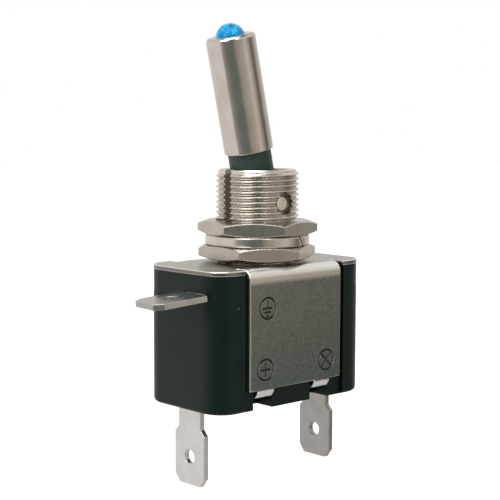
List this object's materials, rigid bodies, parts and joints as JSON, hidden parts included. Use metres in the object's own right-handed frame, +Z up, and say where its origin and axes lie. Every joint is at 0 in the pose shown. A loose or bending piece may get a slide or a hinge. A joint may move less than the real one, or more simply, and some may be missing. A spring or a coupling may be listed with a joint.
{
  "type": "panel toggle switch",
  "caption": "Two-position panel toggle switch with a lamp in its lever, a threaded bushing with nuts and a lock washer, a bracketed housing and blade terminals.",
  "frame": {"origin": "on the bushing's axis, at the top face of the upper nut, where a panel seats", "axes": "+Z up the bushing, away from the housing; +X along the housing's long side, the way the lever is thrown to switch on; +Y across the housing"},
  "size_m": [0.0374, 0.0174, 0.0643],
  "materials": {
    "housing_plastic": "satin",
    "lever_plastic": "gloss",
    "polished_nickel": "polished",
    "lamp_lens": "gloss",
    "nickel_plate": "satin",
    "nickelled_steel": "satin",
    "bracket_steel": "satin",
    "bare_brass": "satin",
    "tinned_brass": "satin",
    "contact_silver": "satin",
    "copper": "satin",
    "spring_steel": "satin",
    "resistor_coat": "satin"
  },
  "bodies": {
    "switch_body": {"lower_housing": "housing_plastic", "upper_housing": "housing_plastic", "mounting_bracket": "bracket_steel", "threaded_bushing": "nickel_plate", "pivot_pin": "bare_brass", "lower_nut": "nickelled_steel", "fixed_contact_button": "contact_silver", "power_terminal": "tinned_brass", "load_terminal": "tinned_brass", "ground_terminal": "tinned_brass"},
    "lever": {"toggle_lever": "lever_plastic", "lever_sleeve": "polished_nickel", "led_lamp": "lamp_lens", "led_anode_lead": "tinned_brass", "led_cathode_lead": "tinned_brass", "led_resistor": "resistor_coat", "plunger_spring": "spring_steel"},
    "plunger": {"plunger": "bare_brass"},
    "rocker": {"rocker_contact": "copper", "moving_contact_button": "contact_silver"},
    "washer": {"lock_washer": "nickelled_steel"},
    "nut": {"upper_nut": "nickelled_steel"}
  },
  "joints": [
    {"name": "lever_throw", "type": "hinge", "parent": "switch_body", "child": "lever", "pos_m": [0, 0, 0.00256], "axis": [0, 1, 0], "range_deg": [0, 25.6]},
    {"name": "plunger_slide", "type": "slide", "parent": "lever", "child": "plunger", "axis": [-0.2215, 0, 0.9751], "range_m": [0, 0.0006], "stiffness_N_per_m": 60, "springref_m": -0.01, "deforming": ["plunger_spring"]},
    {"name": "rocker_tip", "type": "hinge", "parent": "switch_body", "child": "rocker", "pos_m": [0, 0, -0.02], "axis": [0, 1, 0], "range_deg": [-16, 0]},
    {"name": "washer_lift", "type": "slide", "parent": "switch_body", "child": "washer", "axis": [0, 0, 1], "range_m": [0, 0.007]},
    {"name": "nut_turn", "type": "hinge", "parent": "washer", "child": "nut", "pos_m": [0, 0, -0.001], "axis": [0, 0, 1], "range_deg": [0, 3360]}
  ],
  "couplings": [
    {"joint": "rocker_tip", "follows": "lever_throw", "ratio": -0.625},
    {"joint": "nut_turn", "follows": "washer_lift", "rad_per_m": 8377}
  ]
}
